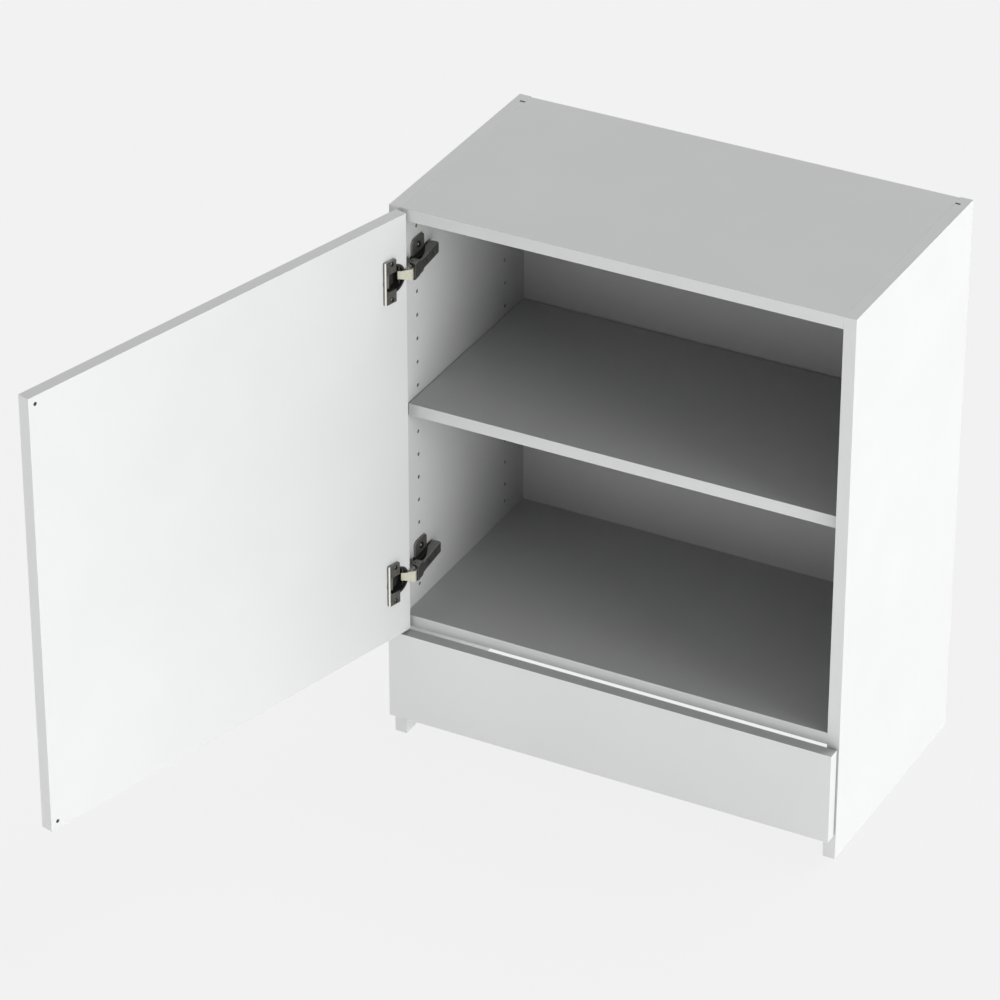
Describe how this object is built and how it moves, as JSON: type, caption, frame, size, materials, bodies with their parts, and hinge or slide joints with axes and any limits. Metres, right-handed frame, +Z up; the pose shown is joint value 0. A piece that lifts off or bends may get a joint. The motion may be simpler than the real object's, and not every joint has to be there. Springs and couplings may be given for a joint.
{
  "type": "ventilated storage cabinet",
  "caption": "Free-standing white base cabinet with an adjustable shelf, a raised plinth board that leaves air gaps above and below it, and a side-hung door on concealed hinges, shown open.",
  "frame": {"origin": "floor level under the middle of the carcass footprint", "axes": "+X to the cabinet's right as seen from the front, +Y from the front to the back, +Z up"},
  "size_m": [0.7438, 0.9129, 0.736],
  "materials": {
    "white_board": "smooth white melamine on chipboard",
    "white_hardboard": "white-faced hardboard sheet",
    "bare_wood": "plain beech",
    "zinc_steel": "bright zinc plate",
    "cast_zinc": "plain zinc die casting",
    "dark_metal": "dark nickel-like coating, satin",
    "bright_nickel": "bright nickel plate",
    "grey_plastic": "matt dark grey"
  },
  "bodies": {
    "carcass": {"left_side_panel": "white_board", "right_side_panel": "white_board", "top_panel": "white_board", "bottom_panel": "white_board", "back_panel": "white_hardboard", "adjustable_shelf": "white_board", "corner_dowels": "bare_wood", "cam_bolts": "zinc_steel", "cam_locks": "cast_zinc", "shelf_pins": "zinc_steel", "back_panel_screws": "zinc_steel", "plinth_board": "white_board", "left_plinth_bracket": "zinc_steel", "right_plinth_bracket": "zinc_steel", "plinth_bracket_screws": "zinc_steel", "upper_hinge_mounting_plate": "dark_metal", "upper_hinge_plate_screws": "dark_metal", "upper_hinge_arm": "dark_metal", "upper_hinge_adjusting_screws": "dark_metal", "upper_hinge_arm_pin": "dark_metal", "lower_hinge_mounting_plate": "dark_metal", "lower_hinge_plate_screws": "dark_metal", "lower_hinge_arm": "dark_metal", "lower_hinge_adjusting_screws": "dark_metal", "lower_hinge_arm_pin": "dark_metal"},
    "hinge_links": {"upper_hinge_link": "bright_nickel", "lower_hinge_link": "bright_nickel"},
    "door": {"door_panel": "white_board", "upper_hinge_cup": "dark_metal", "upper_hinge_cup_pin": "dark_metal", "upper_hinge_cup_screws": "dark_metal", "upper_hinge_damper": "grey_plastic", "lower_hinge_cup": "dark_metal", "lower_hinge_cup_pin": "dark_metal", "lower_hinge_cup_screws": "dark_metal", "lower_hinge_damper": "grey_plastic"}
  },
  "joints": [
    {"name": "link_swing", "type": "hinge", "parent": "carcass", "child": "hinge_links", "pos_m": [-0.27193, -0.16102, 0.447], "axis": [0, 0, 1], "range_deg": [-36.6, 0]},
    {"name": "door_swing", "type": "hinge", "parent": "hinge_links", "child": "door", "pos_m": [-0.27971, -0.17935, 0.447], "axis": [0, 0, 1], "range_deg": [0, 141.59]}
  ],
  "couplings": [
    {"joint": "link_swing", "follows": "door_swing", "ratio": -0.25842}
  ]
}
